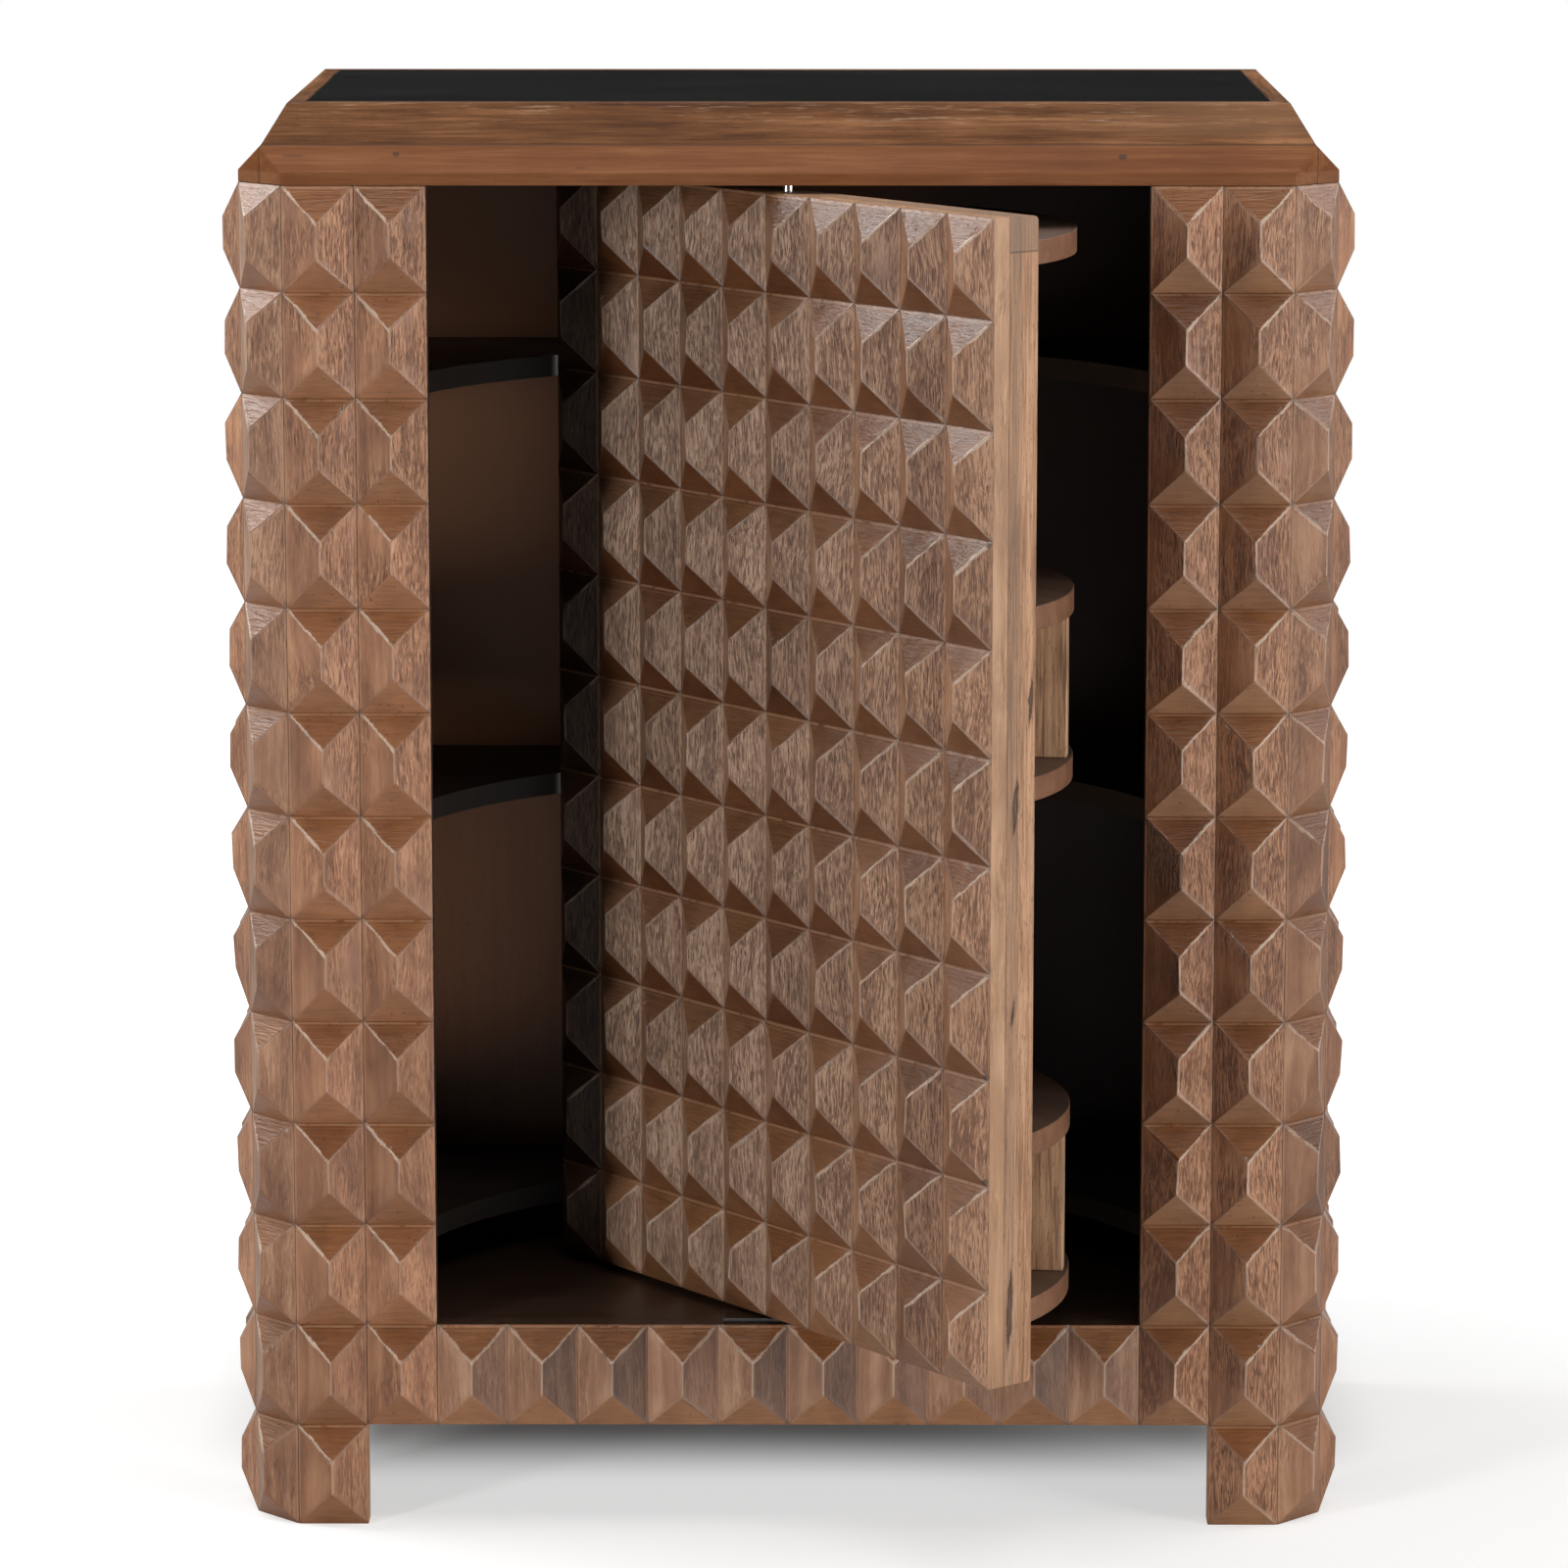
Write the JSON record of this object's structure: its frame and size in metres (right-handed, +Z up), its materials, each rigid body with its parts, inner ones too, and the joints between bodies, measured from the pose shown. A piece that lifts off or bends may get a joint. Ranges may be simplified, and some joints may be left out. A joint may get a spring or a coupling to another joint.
{
  "type": "bar cabinet",
  "caption": "Carved bar cabinet with bevelled crown, black glass top, fixed shelves and a door that revolves on a centre pivot with half-round bottle shelves behind it.",
  "frame": {"origin": "on the ground under the middle of the whole object's box, with the door standing open", "axes": "+Z up, front towards -Y, +X to the right of someone who faces the front"},
  "size_m": [1.0294, 0.7385, 1.3154],
  "materials": {
    "carved_wood": "waxed, open grain",
    "smooth_wood": "satin",
    "inner_wood": "dark satin",
    "board_wood": "satin",
    "black_glass": "black, opaque",
    "steel": "bright",
    "dark_steel": "dark",
    "bronze": "machined"
  },
  "bodies": {
    "cabinet": {"front_leg_front_left": "carved_wood", "front_leg_front_right": "carved_wood", "front_leg_corner_left": "carved_wood", "front_leg_corner_right": "carved_wood", "front_leg_side_left": "carved_wood", "front_leg_side_right": "carved_wood", "front_stile_left": "carved_wood", "front_stile_right": "carved_wood", "side_panel_left": "carved_wood", "side_panel_right": "carved_wood", "rear_leg_side_left": "carved_wood", "rear_leg_side_right": "carved_wood", "bottom_rail": "carved_wood", "crown_front": "smooth_wood", "crown_left": "smooth_wood", "crown_right": "smooth_wood", "crown_back": "smooth_wood", "rear_leg_board_left": "smooth_wood", "rear_leg_board_right": "smooth_wood", "back_panel": "inner_wood", "floor_panel": "inner_wood", "fixed_shelf_lower": "inner_wood", "fixed_shelf_middle": "inner_wood", "fixed_shelf_upper": "inner_wood", "top_deck": "inner_wood", "glass_bed": "inner_wood", "top_glass": "black_glass", "top_bush": "bronze", "floor_pivot": "dark_steel", "thrust_washer": "bronze"},
    "door": {"door_stave_01": "carved_wood", "door_stave_02": "carved_wood", "door_stave_03": "carved_wood", "door_stave_04": "carved_wood", "door_stave_05": "carved_wood", "door_stave_06": "carved_wood", "door_stave_07": "carved_wood", "door_stave_08": "carved_wood", "door_stave_09": "carved_wood", "door_stave_10": "carved_wood", "door_slab": "smooth_wood", "board_bottom": "board_wood", "board_lower": "board_wood", "board_middle": "board_wood", "board_upper": "board_wood", "board_top": "board_wood", "divider_lower_near": "board_wood", "divider_lower_far": "board_wood", "divider_upper_near": "board_wood", "divider_upper_far": "board_wood", "top_pivot_pin": "steel", "bottom_sleeve": "bronze"}
  },
  "joints": [
    {"name": "door_turn", "type": "hinge", "parent": "cabinet", "child": "door", "pos_m": [0, -0.10139, 0], "axis": [0, 0, 1], "continuous": true}
  ]
}
